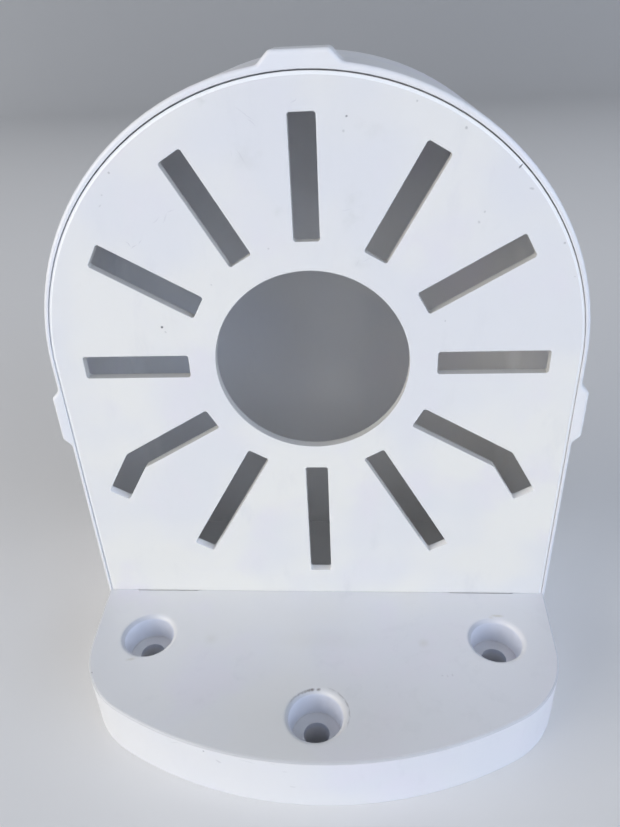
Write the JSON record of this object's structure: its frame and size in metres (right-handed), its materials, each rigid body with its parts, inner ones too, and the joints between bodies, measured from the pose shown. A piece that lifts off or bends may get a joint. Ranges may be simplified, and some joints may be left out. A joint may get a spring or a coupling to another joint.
{
  "type": "mini camera mount",
  "caption": "Right-angle wall mount for a mini dome camera: an arched hood on a screwed wall flange, closed by a clipped-in plate with a round cable hole and radial slots.",
  "frame": {"origin": "middle of the bounding box at the wall face, on which the part stands", "axes": "+Z away from the wall, -Y out of the camera plate's front face, +X to the right seen from the front"},
  "size_m": [0.1138, 0.093, 0.1353],
  "materials": {
    "hood_plastic": "white moulded plastic, satin gloss",
    "plate_plastic": "white moulded plastic, satin gloss, light scuffs"
  },
  "bodies": {
    "root": {"hood_bracket": "hood_plastic", "camera_plate": "plate_plastic"}
  },
  "joints": []
}
